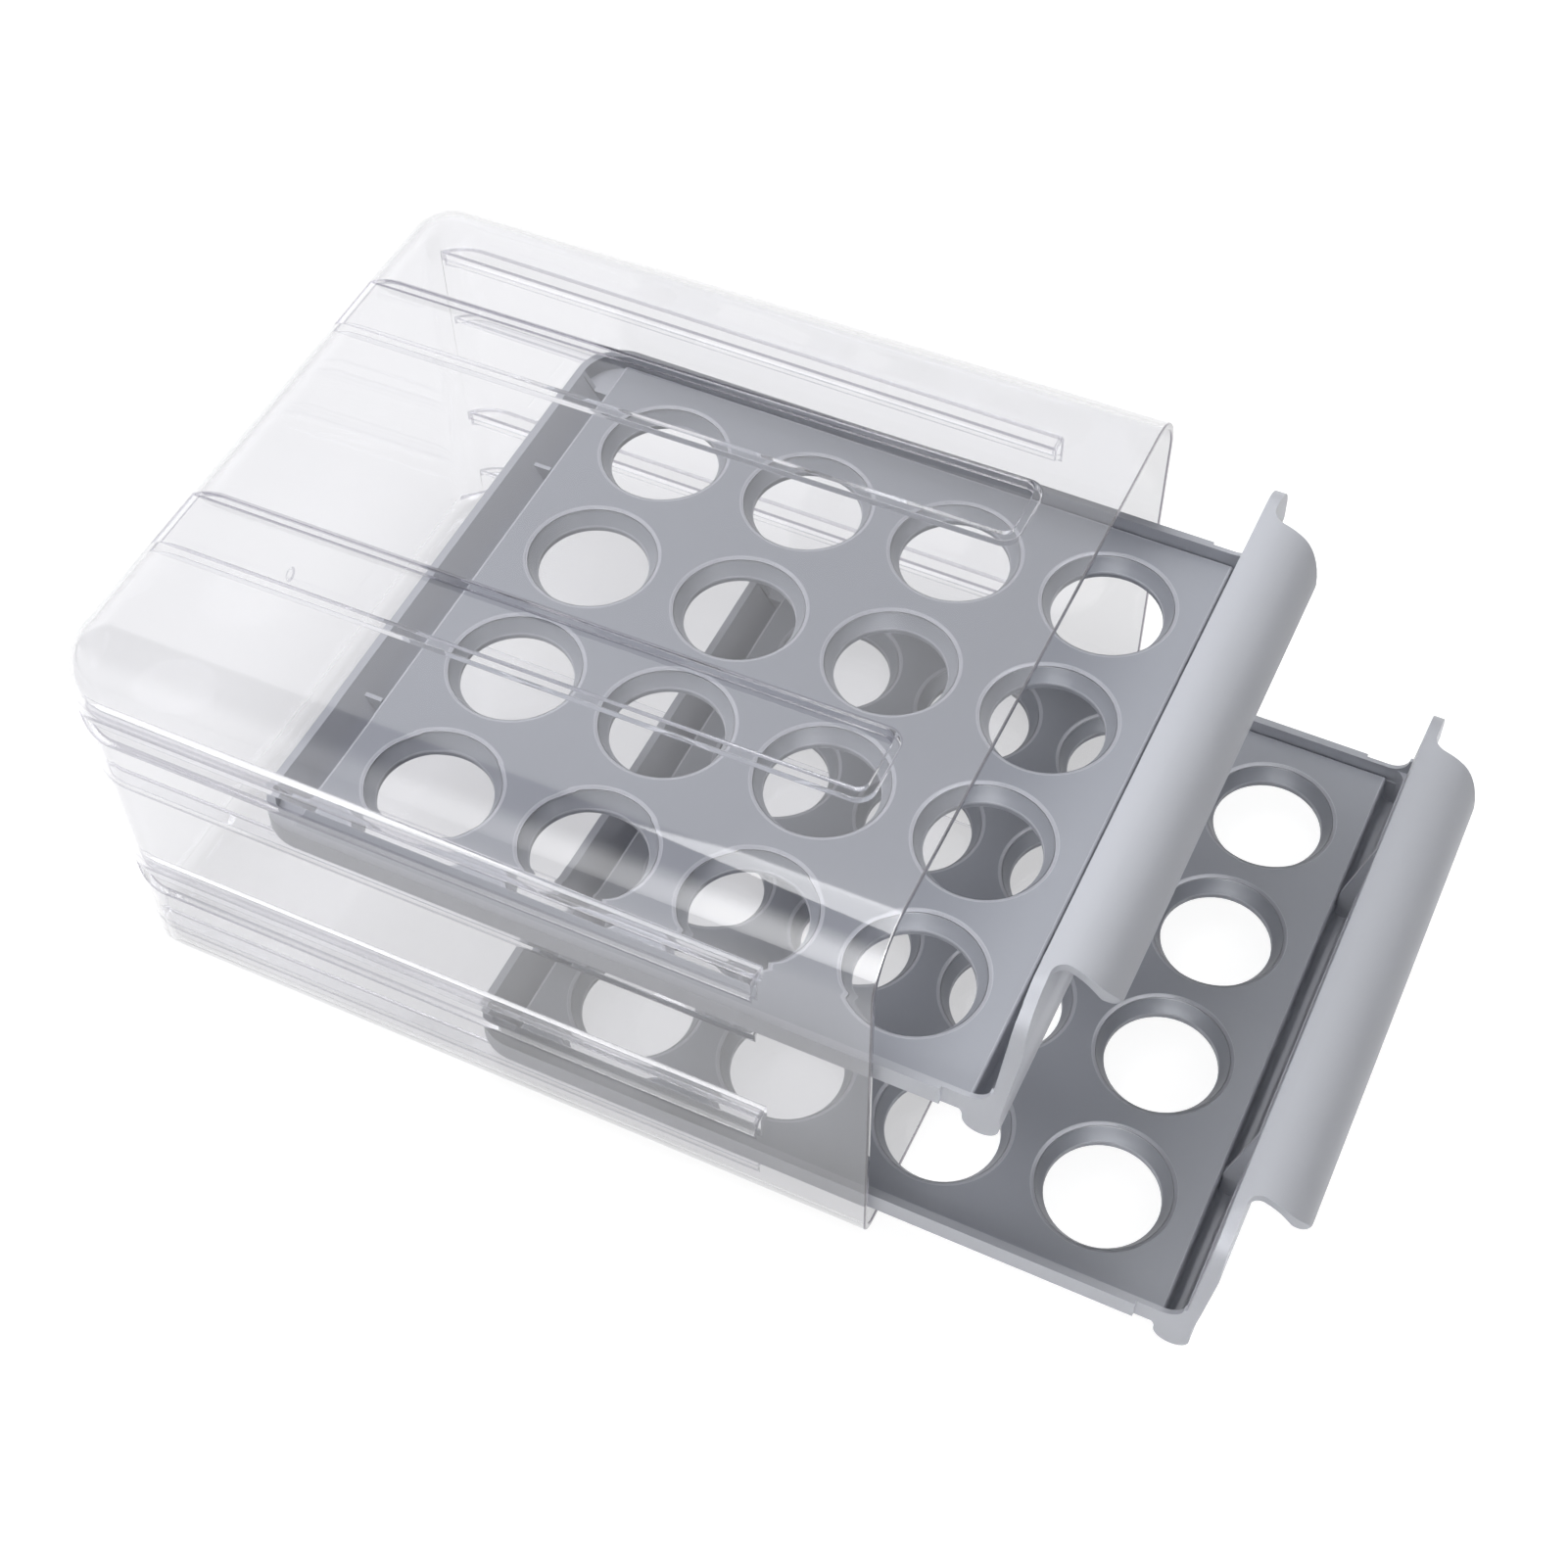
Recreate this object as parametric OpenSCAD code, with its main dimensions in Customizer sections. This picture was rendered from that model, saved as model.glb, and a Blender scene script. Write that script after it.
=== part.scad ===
// Two-tier egg storage drawer: a clear casing and two pull-out egg trays.
// +Z up, the open front and the pulls toward -Y, +X to the right. Millimetres.
// It stands on z = 0, with x = y = 0 under the middle of its bounding box as drawn.

/* [Egg grid] */
// cup pitch across the tray
pitch_x = 47; // [44:0.5:52]
// cup pitch from front to back
pitch_y = 48.4; // [44:0.4:52]
// cups across and cups from front to back
cups = 4; // [2:1:5]
// cup diameter at the deck
cup_rim_d = 39.3; // [34:0.1:42]
// open throat diameter under the cup
cup_throat_d = 33; // [28:0.1:34]
// depth of a cup below the deck
cup_depth = 7; // [5:0.5:10]
// length of the straight throat at the bottom of a cup
throat_len = 2; // [1:0.5:3]
// wall of a cup
cup_wall = 1.4; // [1:0.1:2]
// chamfer round each cup mouth
cup_chamfer = 0.5; // [0.2:0.1:0.8]
// deck left outside the cup centres, left and right
plate_side = 29.3; // [27:0.1:34]
// deck left outside the cup centres, front and back
plate_end = 28.3; // [26:0.1:34]
// thickness of the egg plate
plate_t = 1.6; // [1.4:0.1:2.2]
// chamfer along the plate's top edges
plate_chamfer = 0.6; // [0.2:0.1:1]

/* [Tray frame] */
// gap between the plate and the rim
plate_gap = 0.3; // [0.1:0.1:0.6]
// thickness of the tray rim
rim_t = 2.4; // [2:0.1:2.8]
// height of the rim above the deck
rim_up = 4.2; // [3:0.2:6]
// thickness of the ledge under the plate
ledge_t = 1.5; // [1.2:0.1:2]
// outer radius of the tray's back corners
tray_r = 14; // [13:0.5:18]
// width of the gap behind the plate
back_gap = 8.6; // [6:0.2:12]
// depth of the back channel below the deck
back_depth = 10; // [7:0.5:12]
// width of the back channel's floor
back_toe = 1; // [0.6:0.1:3]
// height of the channel ribs under the deck line
rib_drop = 0.4; // [0:0.2:2]
// thickness of the channel ribs
rib_t = 1.4; // [1:0.2:2]
// distance of the channel ribs from the middle
rib_x = 50; // [30:1:60]
// how far the slide flange stops behind the plate's front edge
flange_stop = 7.7; // [4:0.1:12]
// step from the flange to the plain side wall in front of it
flange_step = 1; // [0.6:0.1:1.6]

/* [Front panel and pull] */
// height of the pull's crest above the deck
crest_up = 45; // [36:0.5:50]
// panel thickness
panel_t = 3.2; // [2.4:0.2:4]
// gap between the plate and the panel at the deck
front_gap = 5.2; // [4:0.2:8]
// forward lean of the panel over its height
panel_lean = 3.3; // [0:0.1:6]
// half width of the panel
panel_half = 98.5; // [90:0.5:99]
// radius of the panel's top corners
panel_r = 14; // [8:1:20]
// radius of the curled pull, outside
curl_r = 18; // [12:0.5:20]
// thickness of the curled pull
curl_t = 2.8; // [2:0.2:4]
// height of the curl's lower edge above its own centre
curl_rise = 3; // [0:0.5:6]
// half width of the curled pull
curl_half = 80; // [60:1:86]
// corner radius of the curl's outer edge
curl_corner = 7; // [3:0.5:10]
// fillet between the curl and the panel
curl_fillet = 4; // [1:0.5:6]
// step from the side wall in to the end of the front trough
trough_step = 0.6; // [0.2:0.1:1]
// depth of the front trough below the deck
trough_depth = 12.4; // [9:0.2:14]
// wall of the front trough
trough_wall = 1.8; // [1.4:0.2:3]
// outside radius under the trough
trough_r = 5; // [2:0.5:6]
// distance of the two gussets from the middle
gusset_x = 52; // [30:1:70]
// thickness of a gusset
gusset_t = 1.6; // [1.2:0.2:2.4]
// height of a gusset above the deck
gusset_up = 33; // [15:1:36]
// fillet behind the trough, underneath
trough_fillet = 3.6; // [2:0.2:4]
// radius where the side wall sweeps up to the panel
sweep_r = 6; // [3:0.5:8]
// inner radius of the tray's front corners
front_r = 4; // [2:0.5:5]

/* [Casing] */
// play between a tray and the wall, each side
side_play = 1.25; // [0.5:0.05:2.4]
// outer depth
case_d = 246; // [245:1:270]
// height of the shell without the base runners
shell_h = 138; // [136:0.5:150]
// wall thickness
wall = 2; // [1.6:0.2:2.4]
// radius of the long top edges and the back edges
edge_r = 18; // [16.5:0.5:24]
// radius of the bottom edges
base_r = 6; // [3:0.5:6]
// slope of the top toward the back, in degrees
top_slope = 1; // [0:0.1:1.2]
// distance between the two tray levels
level_pitch = 69.5; // [69:0.5:72]
// deck of the lower tray above the ground
deck_low = 17.5; // [17:0.5:20]
// thickness of the ledges that carry the trays
shelf_t = 2; // [1.4:0.1:3]
// how far the ledges stand in from the wall
shelf_in = 4.8; // [4:0.1:5.4]
// height of one side band, outside
band_h = 7.4; // [6:0.2:9]
// depth of a side band, outside
band_in = 5.8; // [4.5:0.1:6.4]
// rise of the sill under a side band
band_sill = 4.6; // [1:0.2:5]
// wall round a side band
band_t = 1; // [0.8:0.1:1.2]
// distance from the rim to the front end of the ledges and bands
band_front = 33.5; // [31:0.5:45]
// play between the slide flange and the band above it
slide_play = 10.5; // [0.5:0.1:12]
// width of a stacking channel
channel_w = 20; // [12:1:26]
// depth of a stacking channel
channel_in = 3; // [2:0.2:3.4]
// distance of the channels from the middle
channel_x = 48; // [30:1:60]
// distance from the rim to the front end of the channels
channel_front = 24; // [22:1:40]
// corner radius at the front end of the channels
channel_r = 3; // [1:0.5:5]
// height of the base runners
runner_h = 2; // [1:0.2:2.4]
// play of a runner in a channel, each side
runner_play = 1; // [0.5:0.1:2]
// diameter of the moulding gate mark
gate_d = 4; // [2:0.5:6]
// height of the moulding gate mark
gate_h = 0.4; // [0.2:0.1:0.6]
// height of the gate mark above the ground
gate_z = 62; // [40:1:90]

/* [Drawers] */
// distance from the rim to the front cups with a tray shut
row_shut = 54.5; // [54:0.5:55]
// how far the upper tray is drawn out
upper_open = 51.5; // [0:0.5:150]
// how far the lower tray is drawn out
lower_open = 111; // [0:0.5:150]

/* [Hidden] */
$fn = 96;
over = 1;
half = 0.5;
// how deep a rib or gusset sits in the wall it grows from
sink = 0.4;
span_x = (cups - 1) * pitch_x;
span_y = (cups - 1) * pitch_y;
plate_half = span_x * half + plate_side;
rim_in = plate_half + plate_gap;
rim_out = rim_in + rim_t;
plate_front = -plate_end;
plate_back = span_y + plate_end;
back_in = plate_back + back_gap;
back_out = back_in + rim_t;
ledge_z = -plate_t - ledge_t;
cup_r = cup_rim_d * half;
throat_r = cup_throat_d * half;
// a ball through the cup mouth and the top of the throat
seat_depth = cup_depth - throat_len;
ball_up = (cup_r * cup_r - throat_r * throat_r - seat_depth * seat_depth) / (seat_depth + seat_depth);
ball_r = sqrt(cup_r * cup_r + ball_up * ball_up);
cup_clear = cup_wall + over;
well_half = span_x * half + cup_r + cup_clear;
well_front = -cup_r - cup_clear;
well_back = span_y + cup_r + cup_clear;
flange_front = plate_front + flange_stop;
side_out = rim_out - flange_step;
// panel back face: at the deck and at the crest
face_low = plate_front - front_gap;
face_top = face_low - panel_lean;
curl_y = face_top - panel_t + over;
curl_z = crest_up - curl_r;
curl_edge = curl_y - curl_r;
trough_back = plate_front + trough_wall;
trough_front = face_low - panel_t;
trough_half = side_out - trough_step;
// the panel's ends are upright as far as the sweep of the side walls
sweep_top = rim_up + sweep_r;
channel_end = rim_out - tray_r;
// the back channel's wall slopes from the rim down to the narrow floor
back_floor = trough_wall - back_depth;
back_slope = (back_gap - back_toe) / (rim_up - back_floor);
back_skin = rim_t * sqrt(1 + back_slope * back_slope);
inner_half = rim_out + side_play;
case_half = inner_half + wall;
band_x = case_half - band_in;
deck_up = deck_low + level_pitch;
// how far the object reaches behind and in front of the casing's rim
case_back = (case_d - edge_r) * cos(top_slope) - edge_r * sin(top_slope) + edge_r;
pull_front = row_shut + curl_y - sqrt(curl_r * curl_r - curl_rise * curl_rise);
mid_y = (case_back + min(0, pull_front - max(upper_open, lower_open))) * half;
top_z = runner_h + shell_h;
// where the leaning back wall meets the round lower edge
base_z = runner_h + base_r;
base_depth = case_d * cos(top_slope) + tan(top_slope) * (base_z - top_z + case_d * sin(top_slope));
colour_clear = [0.86, 0.88, 0.92, 0.35];
colour_grey = [0.62, 0.64, 0.68];
colour_deck = [0.56, 0.58, 0.62];

// a box with round long top edges and round back edges, cut off square below and in front
module shell_body(hw, depth, top, r, low, front)
{
    ahead = front - over;
    below = low - over;
    translate([-hw, ahead, below]) cube([hw + hw, depth - r - ahead, top - r - below]);
    translate([r - hw, ahead, below]) cube([hw + hw - r - r, depth - r - ahead, top - below]);
    translate([r - hw, ahead, below]) cube([hw + hw - r - r, depth - ahead, top - r - below]);
    for (s = [-1, 1]) {
        translate([s * (hw - r), depth - r, below]) cylinder(h = top - r - below, r = r);
        translate([s * (hw - r), depth - r, top - r]) rotate([90, 0, 0])
            cylinder(h = depth - r - ahead, r = r);
        translate([s * (hw - r), depth - r, top - r]) sphere(r = r);
    }
    translate([r - hw, depth - r, top - r]) rotate([0, 90, 0])
        cylinder(h = hw + hw - r - r, r = r);
}

// lean what stands under the top back by the slope, about the front top edge
module leaning()
{
    translate([0, 0, top_z]) rotate([-top_slope, 0, 0]) translate([0, 0, -top_z]) children();
}

// the space the shell may fill: round lower edges left, right and behind
module base_form(hw, depth, low, r, front)
{
    high = top_z + over;
    back = depth - r;
    translate([r - hw, front, low]) cube([hw + hw - r - r, back - front, high - low]);
    translate([-hw, front, low + r]) cube([hw + hw, case_d + over - front, high - low - r]);
    for (s = [-1, 1])
        translate([s * (hw - r), back, low + r]) {
            rotate([90, 0, 0]) cylinder(h = back - front, r = r);
            sphere(r = r);
        }
    translate([r - hw, back, low + r]) rotate([0, 90, 0]) cylinder(h = hw + hw - r - r, r = r);
}

module shell(hw, inset, low, r, br, front)
{
    intersection() {
        leaning() shell_body(hw, case_d - inset, top_z - inset, r, low - base_r, front - base_r);
        base_form(hw, base_depth - inset, low, br, front);
    }
}

// the ledges that the trays' flanges slide on
module shelves()
{
    for (s = [-1, 1], deck = [deck_low, deck_up])
        translate([s > 0 ? inner_half - shelf_in : -inner_half - over, band_front,
                   deck + ledge_z - shelf_t])
            cube([shelf_in + over, case_d + over - band_front, shelf_t]);
}

// the pressed-in side bands that keep the trays from tipping, grown by a wall for the cavity;
// each has a sloping sill and runs out in the round back corner
module bands(grow, reach)
{
    floor_x = band_x - grow;
    for (s = [-1, 1], deck = [deck_low, deck_up])
        translate([0, case_d + over, deck + rim_up + slide_play + band_t]) rotate([90, 0, 0])
            linear_extrude(height = case_d + over - band_front + grow)
                polygon([[s * floor_x, band_sill - grow], [s * floor_x, band_h + grow],
                         [s * (floor_x + reach), band_h + grow], [s * (floor_x + reach), -grow],
                         [s * (floor_x + band_in), -grow]]);
}

// plan of a stacking channel or runner: two round corners in front
module track_plan(w, front, back, r)
{
    hull_w = w * half - r;
    translate([-w * half, front + r]) square([w, back - front - r]);
    translate([-hull_w, front]) square([hull_w + hull_w, r + r]);
    for (s = [-1, 1]) translate([s * hull_w, front + r]) circle(r = r);
}

// both stacking channels in the top, grown by a wall for the cavity
module channels(grow)
{
    leaning()
        for (s = [-1, 1])
            translate([s * channel_x, 0, top_z - channel_in - grow])
                linear_extrude(height = channel_in + grow + over)
                    track_plan(channel_w + grow + grow, channel_front - grow, case_d + over,
                               channel_r + grow);
}

module casing()
{
    color(colour_clear) translate([0, -mid_y, 0]) {
        difference() {
            shell(case_half, 0, runner_h, edge_r, base_r, 0);
            difference() {
                shell(inner_half, wall, runner_h + wall, edge_r - wall, base_r - wall, -over);
                shelves();
                bands(band_t, band_in + band_t + over);
                channels(wall);
            }
            bands(0, band_in + over);
            channels(0);
        }
        for (s = [-1, 1])
            translate([s * channel_x, 0, 0])
                linear_extrude(height = runner_h + wall * half)
                    track_plan(channel_w - runner_play - runner_play,
                               channel_front + runner_play, case_d - edge_r, channel_r);
        leaning()
            translate([0, case_d - wall * half, gate_z]) rotate([-90, 0, 0])
                cylinder(h = wall * half + gate_h, d = gate_d);
    }
}

// one cup: a ball-shaped seat with an open throat, from the deck down
module cup_wall_form()
{
    intersection() {
        translate([0, 0, ball_up]) sphere(r = ball_r + cup_wall);
        translate([0, 0, -seat_depth])
            cylinder(h = seat_depth - plate_t * half, r = cup_r + cup_wall + over);
    }
    translate([0, 0, -cup_depth]) cylinder(h = cup_depth - plate_t * half, r = throat_r + cup_wall);
}

module cup_hollow()
{
    translate([0, 0, ball_up]) sphere(r = ball_r);
    translate([0, 0, -cup_depth - over]) cylinder(h = cup_depth + over, r = throat_r);
    translate([0, 0, -cup_chamfer])
        cylinder(h = cup_chamfer, r1 = cup_r, r2 = cup_r + cup_chamfer);
}

module egg_plate()
{
    slant = plate_chamfer * sqrt(half);
    len_y = plate_back - plate_front;
    color(colour_deck)
    difference() {
        union() {
            translate([-plate_half, plate_front, -plate_t])
                cube([plate_half + plate_half, len_y, plate_t]);
            for (i = [0 : cups - 1], j = [0 : cups - 1])
                translate([i * pitch_x - span_x * half, j * pitch_y, 0]) cup_wall_form();
        }
        for (i = [0 : cups - 1], j = [0 : cups - 1])
            translate([i * pitch_x - span_x * half, j * pitch_y, 0]) cup_hollow();
        for (s = [-1, 1])
            translate([s * plate_half, plate_front - over, 0]) rotate([0, 45, 0])
                translate([-slant, 0, -slant]) cube([slant + slant, len_y + over + over, slant + slant]);
        for (y = [plate_front, plate_back])
            translate([-plate_half - over, y, 0]) rotate([45, 0, 0])
                translate([0, -slant, -slant])
                    cube([plate_half + plate_half + over + over, slant + slant, slant + slant]);
    }
}

// plan inside the rim: round corners at the back and small ones in front
module seat_plan()
{
    tray_plan(rim_in, face_low + front_r, back_in, tray_r - rim_t);
    translate([front_r - rim_in, face_low]) square([rim_in + rim_in - front_r - front_r, front_r]);
    for (s = [-1, 1]) translate([s * (rim_in - front_r), face_low + front_r]) circle(r = front_r);
}

// plan of the tray with round back corners, w = half width
module tray_plan(w, front, back, r)
{
    translate([-w, front]) square([w + w, back - front - r]);
    translate([r - w, front]) square([w + w - r - r, back - front]);
    for (s = [-1, 1]) translate([s * (w - r), back - r]) circle(r = r);
}

// side view of the panel and its curled pull, y to the left of the drawing
module panel_side()
{
    polygon([[face_low, -trough_depth + trough_r], [face_low, 0], [face_top, crest_up - panel_t],
             [face_top, curl_z], [face_top - panel_t, curl_z], [trough_front, 0],
             [trough_front, -trough_depth + trough_r]]);
    polygon([[face_top, curl_z], [face_top, crest_up - panel_t], [face_top - panel_t, crest_up - panel_t],
             [face_top - panel_t, curl_z]]);
    intersection() {
        translate([curl_y, curl_z]) circle(r = curl_r);
        translate([face_top - panel_t, curl_z + curl_rise]) square([panel_t, curl_r]);
    }
}

module curl_side()
{
    intersection() {
        difference() {
            translate([curl_y, curl_z]) circle(r = curl_r);
            translate([curl_y, curl_z]) circle(r = curl_r - curl_t);
        }
        translate([curl_edge - over, curl_z + curl_rise])
            square([face_top - panel_t * half - curl_edge + over, curl_r]);
    }
}

// sweep a side view along x over the half width w
module across(w)
{
    translate([-w, 0, 0]) rotate([90, 0, 90]) linear_extrude(height = w + w) children();
}

module panel()
{
    // front elevation with round top corners
    intersection() {
        across(side_out) panel_side();
        translate([0, face_low + over, 0]) rotate([90, 0, 0])
            linear_extrude(height = panel_t + panel_lean + front_gap + over) {
                translate([-trough_half, -trough_depth])
                    square([trough_half + trough_half, trough_depth + sweep_top]);
                polygon([[-side_out, 0], [side_out, 0], [side_out, sweep_top],
                         [panel_half, crest_up - panel_r], [-panel_half, crest_up - panel_r],
                         [-side_out, sweep_top]]);
                translate([panel_r - panel_half, -trough_depth])
                    square([panel_half + panel_half - panel_r - panel_r, crest_up + trough_depth]);
                for (s = [-1, 1])
                    translate([s * (panel_half - panel_r), crest_up - panel_r]) circle(r = panel_r);
            }
    }
    // the curled pull, narrower than the panel, with round outer corners
    intersection() {
        across(curl_half + curl_fillet) curl_side();
        translate([0, 0, curl_z]) linear_extrude(height = curl_r + over) {
            translate([-curl_half, curl_edge + curl_corner])
                square([curl_half + curl_half, face_top - curl_edge - curl_corner]);
            translate([curl_corner - curl_half, curl_edge - over])
                square([curl_half + curl_half - curl_corner - curl_corner, curl_corner + over]);
            for (s = [-1, 1]) {
                translate([s * (curl_half - curl_corner), curl_edge + curl_corner])
                    circle(r = curl_corner);
                difference() {
                    translate([s > 0 ? curl_half - over : -curl_half - curl_fillet,
                               face_top - panel_t - curl_fillet])
                        square([curl_fillet + over, curl_fillet + panel_t]);
                    translate([s * (curl_half + curl_fillet), face_top - panel_t - curl_fillet])
                        circle(r = curl_fillet);
                }
            }
        }
        translate([0, face_top, 0]) rotate([90, 0, 0])
            linear_extrude(height = curl_r + panel_t + over) {
                low = curl_z + curl_rise;
                translate([-curl_half - curl_fillet, low + curl_corner])
                    square([curl_half + curl_half + curl_fillet + curl_fillet, curl_r]);
                translate([curl_corner - curl_half, low])
                    square([curl_half + curl_half - curl_corner - curl_corner, curl_r]);
                for (s = [-1, 1])
                    translate([s * (curl_half - curl_corner), low + curl_corner])
                        circle(r = curl_corner);
            }
    }
}

// side view of the trough under the panel: outside and hollow
module trough_side()
{
    r = trough_r;
    translate([trough_front + r, -trough_depth])
        square([trough_back - trough_front - r - r, trough_depth - plate_t]);
    translate([trough_front, r - trough_depth])
        square([trough_back - trough_front, trough_depth - plate_t - r]);
    for (y = [trough_front + r, trough_back - r]) translate([y, r - trough_depth]) circle(r = r);
    translate([trough_back - over, ledge_z - trough_fillet])
        difference() {
            square([trough_fillet + over, trough_fillet + ledge_t]);
            translate([trough_fillet + over, 0]) circle(r = trough_fillet);
        }
}

module trough_hollow()
{
    r = trough_r - trough_wall;
    low = trough_wall - trough_depth;
    wide = plate_front - face_low;
    small = min(r, wide * half - sink);
    translate([face_low + small, low]) square([wide - small - small, trough_depth + rim_up]);
    translate([face_low, low + small]) square([wide, trough_depth + rim_up]);
    for (y = [face_low + small, plate_front - small]) translate([y, low + small]) circle(r = small);
}

// where the back channel's wall stands at the height z
function slope_y(z) = back_in - (rim_up - z) * back_slope;

// side view of all that lies behind the sloping wall, moved back by skin, as far as end
module slope_side(low, skin, end)
{
    polygon([[slope_y(low) + skin, low], [slope_y(rim_up) + skin, rim_up],
             [max(end, slope_y(rim_up) + skin), rim_up], [max(end, slope_y(rim_up) + skin), low]]);
}

module frame()
{
    color(colour_grey) {
        difference() {
            union() {
                // rim with the slide flange
                translate([0, 0, ledge_z]) linear_extrude(height = rim_up - ledge_z)
                    tray_plan(rim_out, flange_front, back_out, tray_r);
                // plain side walls in front of the flange
                translate([-side_out, trough_front, ledge_z])
                    cube([side_out + side_out, flange_front + over - trough_front, rim_up - ledge_z]);
                across(trough_half) trough_side();
                // back channel under the gap
                translate([-channel_end, plate_back - trough_wall, -back_depth])
                    cube([channel_end + channel_end, back_gap + trough_wall, back_depth - plate_t]);
            }
            // the seat of the plate and the gaps before and behind it
            difference() {
                translate([0, 0, -plate_t]) linear_extrude(height = plate_t + rim_up + over)
                    seat_plan();
                across(channel_end) slope_side(-plate_t - over, 0, back_in + over);
            }
            across(channel_end + sink) slope_side(-back_depth - over, back_skin, back_out + over);
            // the well under the cups
            translate([-well_half, well_front, ledge_z - over])
                cube([well_half + well_half, well_back - well_front, ledge_t + over + over]);
            intersection() {
                across(rim_in - trough_step) trough_hollow();
                translate([0, 0, -trough_depth]) linear_extrude(height = trough_depth + rim_up + over)
                    seat_plan();
            }
            // hollow of the back channel
            across(channel_end - trough_wall)
                polygon([[plate_back, back_floor], [plate_back + back_toe, back_floor],
                         [slope_y(rim_up), rim_up], [plate_back, rim_up]]);
        }
        panel();
        // side walls sweeping up to the panel
        for (s = [-1, 1])
            translate([s > 0 ? rim_in : -side_out, face_low - over, rim_up - over]) {
                difference() {
                    cube([side_out - rim_in, sweep_r + over, sweep_r + over]);
                    translate([-over, sweep_r + over, sweep_r + over]) rotate([0, 90, 0])
                        cylinder(h = rim_t + over + over, r = sweep_r);
                }
            }
        for (s = [-1, 1]) {
            // gusset between the trough and the panel
            translate([s * gusset_x - gusset_t * half, 0, 0]) rotate([90, 0, 90])
                linear_extrude(height = gusset_t)
                    polygon([[plate_front - plate_gap, 0],
                             [plate_front - plate_gap, trough_wall - trough_depth - sink],
                             [face_low - over, trough_wall - trough_depth - sink],
                             [face_low - over - panel_lean * gusset_up / crest_up, gusset_up]]);
            // rib across the back channel
            translate([s * rib_x - rib_t * half, 0, 0]) rotate([90, 0, 90])
                linear_extrude(height = rib_t)
                    polygon([[plate_back + plate_gap, -rib_drop],
                             [plate_back + plate_gap, back_floor - sink],
                             [plate_back + back_toe + sink, back_floor - sink],
                             [slope_y(-rib_drop) + sink, -rib_drop]]);
        }
    }
}

// put a tray's piece at its level, drawn out by the given distance
module placed(deck, open)
{
    translate([0, row_shut - open - mid_y, deck]) children();
}

module upper_frame() { placed(deck_up, upper_open) frame(); }
module upper_egg_plate() { placed(deck_up, upper_open) egg_plate(); }
module lower_frame() { placed(deck_low, lower_open) frame(); }
module lower_egg_plate() { placed(deck_low, lower_open) egg_plate(); }

casing();
upper_frame();
upper_egg_plate();
lower_frame();
lower_egg_plate();
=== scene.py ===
import math
import bmesh
import bpy
from mathutils import Matrix, Vector


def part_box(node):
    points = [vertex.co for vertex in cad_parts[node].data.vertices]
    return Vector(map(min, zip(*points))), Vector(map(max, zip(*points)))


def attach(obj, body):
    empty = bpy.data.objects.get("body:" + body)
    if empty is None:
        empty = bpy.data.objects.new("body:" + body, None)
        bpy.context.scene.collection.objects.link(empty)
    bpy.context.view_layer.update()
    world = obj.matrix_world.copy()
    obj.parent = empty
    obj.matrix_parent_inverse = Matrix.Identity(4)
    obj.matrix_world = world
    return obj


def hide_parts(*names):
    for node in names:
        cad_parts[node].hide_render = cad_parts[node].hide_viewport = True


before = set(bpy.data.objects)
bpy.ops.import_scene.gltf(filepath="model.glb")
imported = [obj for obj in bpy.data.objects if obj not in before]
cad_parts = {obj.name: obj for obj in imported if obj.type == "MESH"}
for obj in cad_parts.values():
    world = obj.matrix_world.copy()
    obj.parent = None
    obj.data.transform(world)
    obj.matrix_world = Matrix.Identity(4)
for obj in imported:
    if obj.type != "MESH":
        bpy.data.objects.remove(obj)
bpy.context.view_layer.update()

# The casing: one thin-walled injection moulding in clear, faintly cool plastic, with ledges,
# bands and stacking channels moulded into its walls. Its edges are rounded here, and the node's
# own mesh stays behind, hidden.


def softened(node, name, radius, finishes, clamped=False):
    """A copy of a CAD node with its triangles joined into flat faces and its edges rounded.
    Clamped, the rounding shrinks until no two edges' strips meet."""
    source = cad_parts[node]
    piece = bpy.data.objects.new(name, source.data.copy())
    bpy.context.scene.collection.objects.link(piece)
    piece.data.materials.clear()
    for finish in finishes:
        piece.data.materials.append(finish)
    same_point = 2e-6
    flat_within, sharp_above = math.radians(0.4), math.radians(32)
    sliver = 0.00005  # the steps that the solids' triangles leave are narrower than this
    shape = bmesh.new()
    shape.from_mesh(piece.data)
    bmesh.ops.remove_doubles(shape, verts=shape.verts, dist=same_point)
    bmesh.ops.dissolve_limit(shape, angle_limit=flat_within, verts=shape.verts,
                             edges=shape.edges, delimit={"NORMAL"})
    sharp = [edge for edge in shape.edges
             if edge.is_manifold and edge.calc_face_angle() > sharp_above
             and all(face.calc_area() > sliver * edge.calc_length() for face in edge.link_faces)]
    # the strips take the second finish, a painted edge line: a painted highlight on the grey
    # plastics, a painted shade on the clear casing
    bmesh.ops.bevel(shape, geom=sharp, offset=radius, offset_type="OFFSET", affect="EDGES",
                    segments=3, profile=0.5, clamp_overlap=clamped, material=1)
    for face in shape.faces:
        face.smooth = True
    for edge in shape.edges:
        edge.smooth = True
    shape.to_mesh(piece.data)
    shape.free()
    stored = piece.data.attributes.get("custom_normal")
    if stored:
        piece.data.attributes.remove(stored)
    shading = piece.modifiers.new("flat_faces_shade_flat", "WEIGHTED_NORMAL")
    shading.mode = "FACE_AREA_WITH_ANGLE"
    return piece


def shader_of(material):
    material.use_nodes = True
    return material.node_tree.nodes["Principled BSDF"]


def calc(operation, *values):
    """A math node on numbers and other nodes' outputs, placed in those nodes' own tree."""
    outputs = [value for value in values if isinstance(value, bpy.types.NodeSocket)]
    home = outputs[0].id_data
    node = home.nodes.new("ShaderNodeMath")
    node.operation = operation
    for socket, value in zip(node.inputs, values):
        if value in outputs:
            home.links.new(value, socket)
        else:
            socket.default_value = value
    return node.outputs["Value"]


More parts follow.
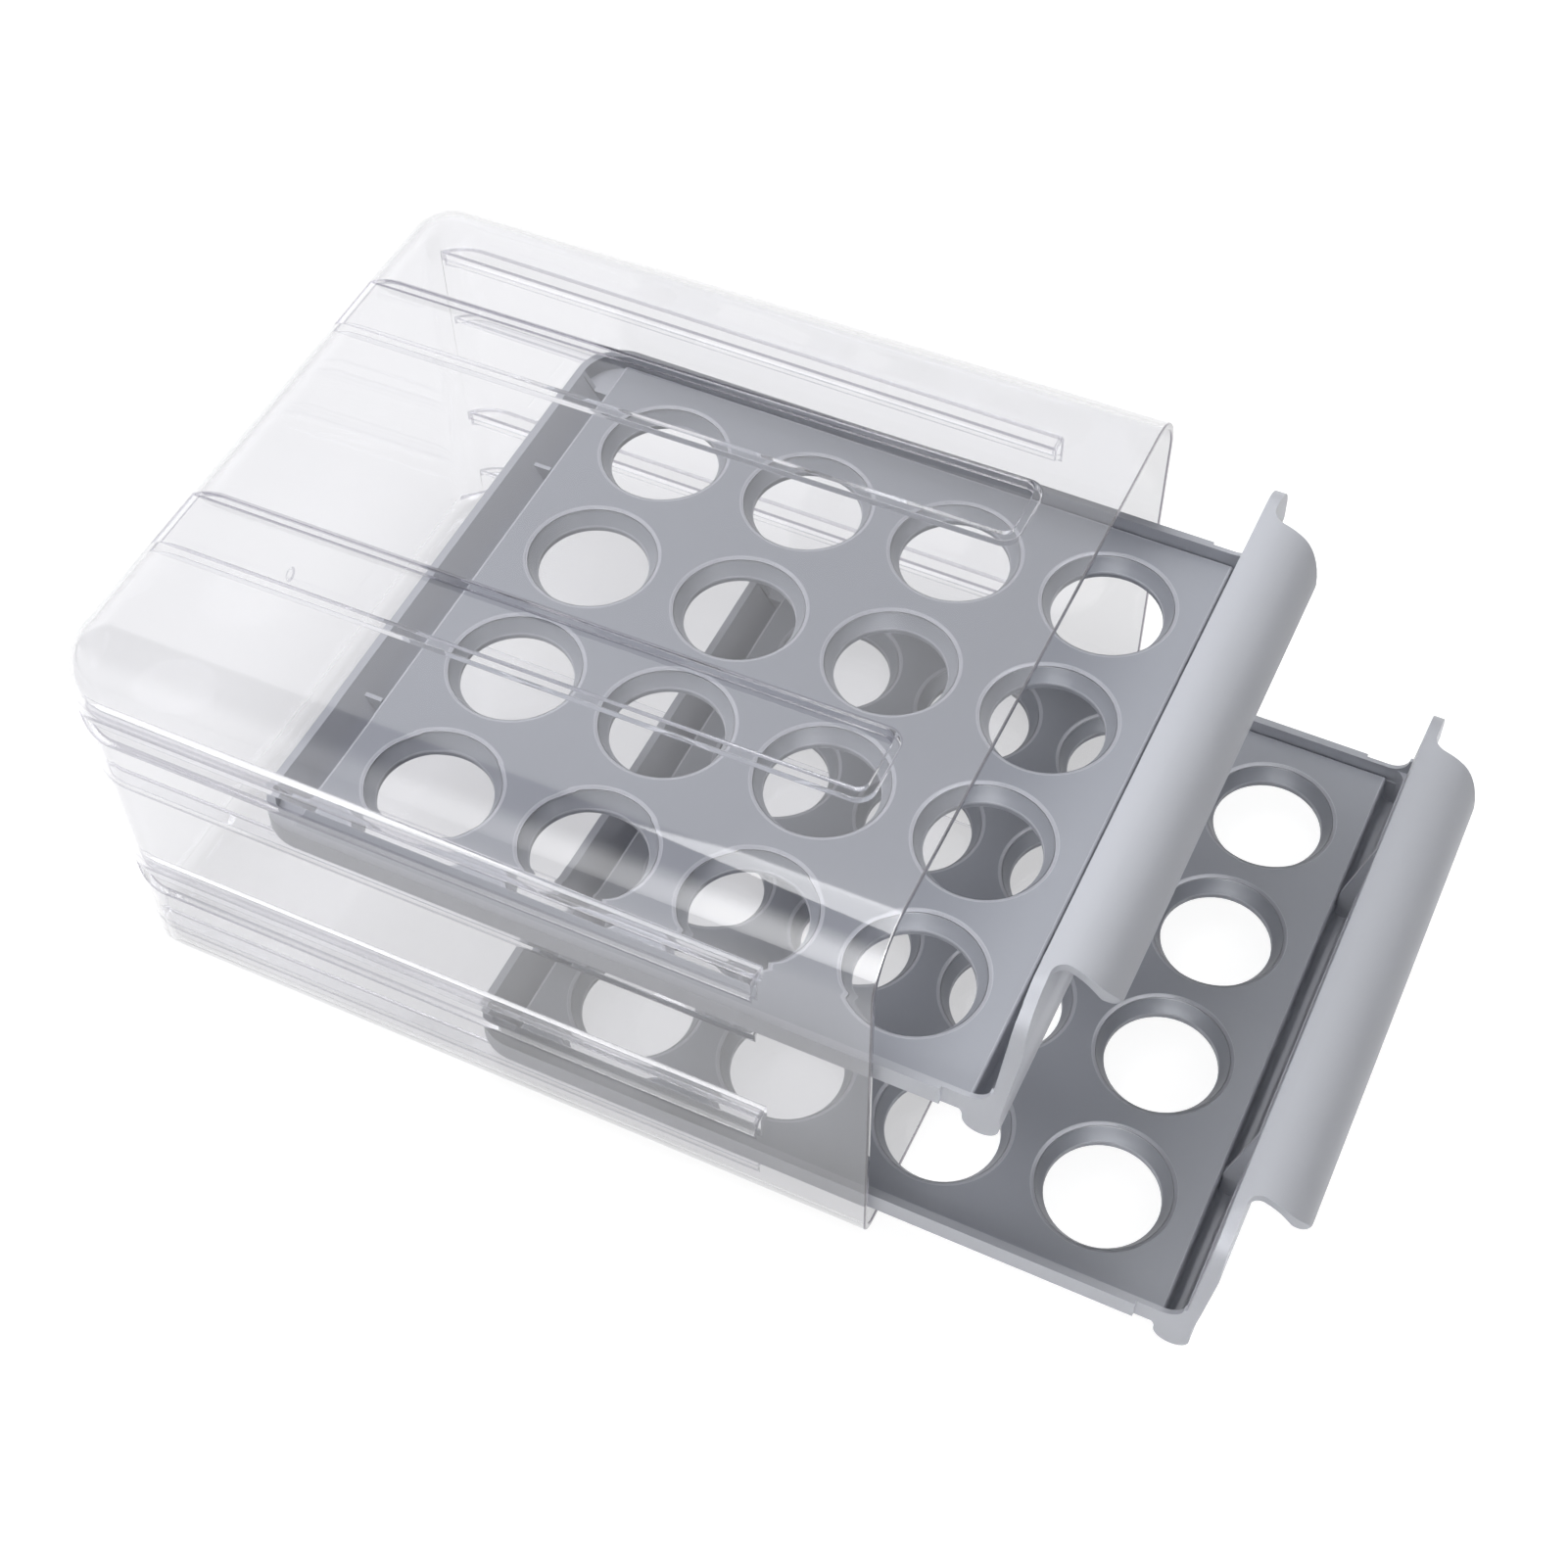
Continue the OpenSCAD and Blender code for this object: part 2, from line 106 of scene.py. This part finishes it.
def moulded_skin(name, outputs):
    """A node group of noises on Object coordinates: output name -> scale, detail, stretch."""
    group = bpy.data.node_groups.new(name, "ShaderNodeTree")
    places = group.nodes.new("ShaderNodeTexCoord")
    given = group.nodes.new("NodeGroupInput")
    result = group.nodes.new("NodeGroupOutput")
    for output, (scale, detail, stretch) in outputs.items():
        group.interface.new_socket(output, in_out="OUTPUT", socket_type="NodeSocketFloat")
        size = group.interface.new_socket(f"{output} Scale", in_out="INPUT",
                                          socket_type="NodeSocketFloat")
        size.default_value = scale
        turned = group.nodes.new("ShaderNodeMapping")
        turned.inputs["Scale"].default_value = stretch
        noise = group.nodes.new("ShaderNodeTexNoise")
        noise.inputs["Detail"].default_value = detail
        group.links.new(places.outputs["Object"], turned.inputs["Vector"])
        group.links.new(turned.outputs["Vector"], noise.inputs["Vector"])
        group.links.new(given.outputs[f"{output} Scale"], noise.inputs["Scale"])
        group.links.new(noise.outputs["Fac"], result.inputs[output])
    return group


def dress(material, shader, group, colour, spread, roughness, bump, depth):
    """Lets the group's Cloud vary colour and roughness, and its Grain press the surface."""
    nodes, links = material.node_tree.nodes, material.node_tree.links
    skin = nodes.new("ShaderNodeGroup")
    skin.node_tree = group
    tone = nodes.new("ShaderNodeMix")
    tone.data_type = "RGBA"
    tone.inputs["A"].default_value = (*(c * (1 - spread) for c in colour), 1)
    tone.inputs["B"].default_value = (*(min(c * (1 + spread), 1) for c in colour), 1)
    links.new(skin.outputs["Cloud"], tone.inputs["Factor"])
    links.new(tone.outputs["Result"], shader.inputs["Base Color"])
    gloss = nodes.new("ShaderNodeMapRange")
    gloss.inputs["To Min"].default_value, gloss.inputs["To Max"].default_value = roughness
    links.new(skin.outputs["Cloud"], gloss.inputs["Value"])
    links.new(gloss.outputs["Result"], shader.inputs["Roughness"])
    press = nodes.new("ShaderNodeBump")
    press.inputs["Strength"].default_value = bump
    press.inputs["Distance"].default_value = depth
    links.new(skin.outputs["Grain"], press.inputs["Height"])
    links.new(press.outputs["Normal"], shader.inputs["Normal"])


# slow waves and a faint unevenness, as where the melt flowed in
flow_waves = moulded_skin("flow_waves", {"Cloud": (9.0, 2.0, (1.0, 0.4, 1.0)),
                                         "Grain": (26.0, 1.0, (1.0, 0.3, 1.0))})


def clear_plastic(name, tint, bend, shine):
    """Clear plastic: tint colours what is seen through it, bend and shine are indices of
    refraction. To shadow, diffuse and deep rays it is a plain see-through sheet."""
    material = bpy.data.materials.new(name)
    shader = shader_of(material)
    dress(material, shader, flow_waves, tint, spread=0.012, roughness=(0.015, 0.045),
          bump=0.12, depth=0.0002)
    shader.inputs["IOR"].default_value = bend
    shader.inputs["Transmission Weight"].default_value = 1.0
    shader.inputs["Coat Weight"].default_value = 1.0
    shader.inputs["Coat IOR"].default_value = shine
    shader.inputs["Coat Roughness"].default_value = 0.03
    nodes, links = material.node_tree.nodes, material.node_tree.links
    path = nodes.new("ShaderNodeLightPath")
    through = nodes.new("ShaderNodeBsdfTransparent")
    grazing = nodes.new("ShaderNodeFresnel")
    grazing.inputs["IOR"].default_value = 1.5
    stopped = nodes.new("ShaderNodeMix")
    stopped.data_type = "RGBA"
    stopped.inputs["A"].default_value = (0.95, 0.95, 0.96, 1)
    stopped.inputs["B"].default_value = (0.05, 0.05, 0.06, 1)
    links.new(stopped.outputs["Result"], through.inputs["Color"])
    # the sheet stops more of the shadow and diffuse rays that graze it
    dull = calc("MAXIMUM", path.outputs["Is Shadow Ray"], path.outputs["Is Diffuse Ray"])
    links.new(calc("MULTIPLY", dull, grazing.outputs["Fac"]), stopped.inputs["Factor"])
    deepest_ray = 4.5  # deeper rays pass straight through, or thin walls show black lines
    deep = calc("GREATER_THAN", path.outputs["Ray Depth"], deepest_ray)
    mix = nodes.new("ShaderNodeMixShader")
    links.new(calc("MAXIMUM", dull, deep), mix.inputs[0])
    links.new(shader.outputs["BSDF"], mix.inputs[1])
    links.new(through.outputs["BSDF"], mix.inputs[2])
    links.new(mix.outputs["Shader"], nodes["Material Output"].inputs["Surface"])
    return material


clear = clear_plastic("clear_plastic", tint=(0.955, 0.955, 0.97), bend=1.1, shine=1.5)
# painted shade: the casing's rounded edges are tinted dark to draw dark lines along them
clear_edge_painted_shade = clear_plastic("clear_plastic_edge_painted_shade", tint=(0.45, 0.44, 0.50), bend=1.1, shine=1.7)
# painted shade: the walls' front ends are tinted nearly black
clear_rim_painted_shade = clear_plastic("clear_plastic_rim_painted_shade", tint=(0.11, 0.10, 0.125), bend=1.1, shine=1.8)

casing = softened("casing", "clear_casing", radius=0.0005,
                  finishes=(clear, clear_edge_painted_shade, clear_rim_painted_shade))
# the walls' front ends take the third finish, tinted nearly black as a painted shade
rim_depth = 0.0006
rim_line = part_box("casing")[0][1] + rim_depth
for face in casing.data.polygons:
    if face.center.y < rim_line:
        face.material_index = 2
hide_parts("casing")
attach(casing, "casing")

# The trays: two alike, each a frame moulded in one with its curled pull, and a plate of 16 open
# egg cups that lies loose in the frame. All are one grey polypropylene with a satin skin, and
# slide with their tray on the casing's ledges. The plates are coloured a shade darker, a painted
# shade.
satin_skin = moulded_skin("satin_skin", {"Cloud": (16.0, 3.0, (1.0, 0.5, 1.0)),
                                         "Grain": (2200.0, 2.0, (1.0, 1.0, 1.0))})


def grey_plastic(name, colour, roughness):
    material = bpy.data.materials.new(name)
    shader = shader_of(material)
    dress(material, shader, satin_skin, colour, spread=0.04,
          roughness=(roughness - 0.05, roughness + 0.05), bump=0.25, depth=0.00004)
    shader.inputs["IOR"].default_value = 1.49
    return material


# the second grey of each pair, on the rounded edges, is lighter: a painted highlight
frame_greys_and_painted_highlight = (grey_plastic("tray_plastic", (0.375, 0.385, 0.42), 0.42),
               grey_plastic("tray_plastic_painted_highlight", (0.52, 0.53, 0.57), 0.35))
# the plates' grey is darker than the frames', a painted shade on the same plastic
plate_greys_painted_shade_and_highlight = (grey_plastic("plate_plastic", (0.285, 0.297, 0.33), 0.45),
               grey_plastic("plate_plastic_painted_highlight", (0.42, 0.43, 0.47), 0.38))
# full rounding folds over in the frames' narrow corners, so theirs is clamped
for level in ("upper", "lower"):
    for part, greys, finish, clamped in (("frame", frame_greys_and_painted_highlight, "tray_plastic", True),
                                         ("egg_plate", plate_greys_painted_shade_and_highlight, "plate_plastic", False)):
        node = f"{level}_{part}"
        piece = softened(node, f"{level}_tray_{part}", radius=0.0004, finishes=greys,
                         clamped=clamped)
        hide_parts(node)
        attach(piece, f"{level}_tray")

# The floor: a pale matt sheet under the object. It shows as plain white to the camera, dimmer
# through the casing as a painted shade of the shadow under it, and keeps the object's soft
# shadow.
bpy.ops.mesh.primitive_plane_add(size=3.0, location=(0, 0, 0))
floor = bpy.context.object
floor.name = "floor"
floor_material = bpy.data.materials.new("floor_white")
floor_shader = shader_of(floor_material)
floor_shader.inputs["Base Color"].default_value = (0.86, 0.86, 0.86, 1)
floor_shader.inputs["Roughness"].default_value = 0.6
nodes, links = floor_material.node_tree.nodes, floor_material.node_tree.links
glow = nodes.new("ShaderNodeEmission")
seen = nodes.new("ShaderNodeLightPath")
mix = nodes.new("ShaderNodeMixShader")
# the glow is off for diffuse rays, and weaker through the casing, a painted shade of the shadow
# under the casing
glow_share, glow_strength, painted_shade_through_casing = 0.7, 1.3, 0.4
share = calc("MULTIPLY_ADD", seen.outputs["Is Diffuse Ray"], -glow_share, glow_share)
strength = calc("MULTIPLY_ADD", seen.outputs["Is Transmission Ray"], -painted_shade_through_casing, glow_strength)
links.new(share, mix.inputs[0])
links.new(strength, glow.inputs["Strength"])
links.new(floor_shader.outputs["BSDF"], mix.inputs[1])
links.new(glow.outputs["Emission"], mix.inputs[2])
links.new(mix.outputs["Shader"], nodes["Material Output"].inputs["Surface"])
floor.data.materials.append(floor_material)

# The studio: plain white to the camera and through the casing, an even pale light on what is
# dull, and for reflections a bright field overhead, a dark gap and a broad light at the left.
# Three softboxes, two above and one at the left, light the trays.
world = bpy.data.worlds.new("studio")
bpy.context.scene.world = world
world.use_nodes = True
tree = world.node_tree


def ramp(value, start, end, low=0.0, high=1.0):
    """A smooth step of the value, from low at start to high at end."""
    node = tree.nodes.new("ShaderNodeMapRange")
    node.interpolation_type = "SMOOTHSTEP"
    tree.links.new(value, node.inputs["Value"])
    for socket, number in zip(("From Min", "From Max", "To Min", "To Max"),
                              (start, end, low, high)):
        node.inputs[socket].default_value = number
    return node.outputs["Result"]


way = tree.nodes.new("ShaderNodeTexCoord")
axes = tree.nodes.new("ShaderNodeSeparateXYZ")
tree.links.new(way.outputs["Generated"], axes.inputs["Vector"])
ahead, height = axes.outputs["Y"], axes.outputs["Z"]
# how far a direction leans to the left of straight up, in degrees
lean = calc("DEGREES", calc("ARCTAN2", calc("MULTIPLY", axes.outputs["X"], -1.0), height))

# the overhead wedge, which is the bright streak on the near rounding, narrows further ahead:
# each edge has one lean at one Y and a slope from there, and short of its Y the upper is level
upper_lean, upper_slope, upper_y = -34.0, 467.0, 0.30
lower_lean, lower_slope, lower_y = 17.0, 190.0, 0.21
past_level = calc("MAXIMUM", calc("SUBTRACT", ahead, upper_y), 0.0)
upper_edge = calc("ADD", calc("MULTIPLY", past_level, upper_slope), upper_lean)
lower_edge = calc("SUBTRACT", lower_lean,
                  calc("MULTIPLY", calc("SUBTRACT", ahead, lower_y), lower_slope))
wedge = calc("MULTIPLY", ramp(calc("SUBTRACT", lean, upper_edge), 0.0, 8.0),
             ramp(calc("SUBTRACT", lower_edge, lean), -1.5, 1.5))
wedge_strength = 8.0
left_light = calc("MULTIPLY", ramp(lean, 28.0, 68.0), ramp(lean, 80.0, 112.0, 1.0, 0.0))
left_light = calc("MULTIPLY", left_light, ramp(ahead, 0.2, 0.47, 8.5, 1.4))
sky = calc("MULTIPLY", ramp(lean, -30.0, -12.0, 2.0, 0.1), ramp(height, 0.05, 0.45, 0.45, 1.0))
mirrored = calc("ADD", sky, calc("ADD", calc("MULTIPLY", wedge, wedge_strength), left_light))
seen_through = ramp(height, 0.2, 0.6, 0.85, 0.4)

seen = tree.nodes.new("ShaderNodeLightPath")
dull = tree.nodes["Background"]
dull.inputs["Color"].default_value = (1, 1, 1, 1)
dull.inputs["Strength"].default_value = 0.27
layers = dull.outputs["Background"]
for rays, pattern in (("Is Glossy Ray", mirrored), ("Is Transmission Ray", seen_through),
                      ("Is Camera Ray", None)):
    field = tree.nodes.new("ShaderNodeBackground")
    field.inputs["Color"].default_value = (1, 1, 1, 1)
    field.inputs["Strength"].default_value = 1.0
    if pattern is not None:
        tree.links.new(pattern, field.inputs["Strength"])
    blend = tree.nodes.new("ShaderNodeMixShader")
    tree.links.new(seen.outputs[rays], blend.inputs[0])
    tree.links.new(layers, blend.inputs[1])
    tree.links.new(field.outputs["Background"], blend.inputs[2])
    layers = blend.outputs["Shader"]
tree.links.new(layers, tree.nodes["World Output"].inputs["Surface"])


def softbox(name, place, aim, width, height, power):
    lamp = bpy.data.lights.new(name, "AREA")
    lamp.shape = "RECTANGLE"
    lamp.size = width
    lamp.size_y = height
    lamp.energy = power
    holder = bpy.data.objects.new(name, lamp)
    bpy.context.scene.collection.objects.link(holder)
    holder.location = place
    holder.rotation_euler = (Vector(aim) - Vector(place)).to_track_quat("-Z", "Y").to_euler()
    # the lamps only light: seen or mirrored, each would be a bright patch in the casing
    holder.visible_camera = False
    holder.visible_glossy = False
    holder.visible_transmission = False


softbox("overhead_softbox", (0.1, 0.24, 0.82), (0, 0, 0.08), 0.45, 0.45, 4.2)
softbox("near_softbox", (-0.04, 0.17, 0.5), (0, 0.05, 0.08), 0.3, 0.3, 1.0)
softbox("side_softbox", (-1.3, 0.35, 0.6), (0, 0, 0.08), 1.2, 0.6, 6)

# The camera: the photograph's angle and lens, from a fit to the egg cups' outlines and to the
# casing's edges, bands and channels.
azimuth, elevation, roll = (math.radians(angle) for angle in (-63.958, 52.748, -0.876))
distance = 0.725722
target = Vector((-0.018819, -0.0007235, 0.072))
back = Vector((math.sin(azimuth) * math.cos(elevation), -math.cos(azimuth) * math.cos(elevation),
               math.sin(elevation)))
right = Vector((math.cos(azimuth), math.sin(azimuth), 0))
up = back.cross(right)
right_rolled = right * math.cos(roll) + up * math.sin(roll)
up_rolled = up * math.cos(roll) - right * math.sin(roll)
lens = bpy.data.cameras.new("camera")
lens.lens = 58.754
lens.sensor_width = 36
camera = bpy.data.objects.new("camera", lens)
bpy.context.scene.collection.objects.link(camera)
turn = Matrix((right_rolled, up_rolled, back)).transposed().to_4x4()
camera.matrix_world = Matrix.Translation(target + back * distance) @ turn
bpy.context.scene.camera = camera
bpy.context.scene.view_settings.view_transform = "Standard"
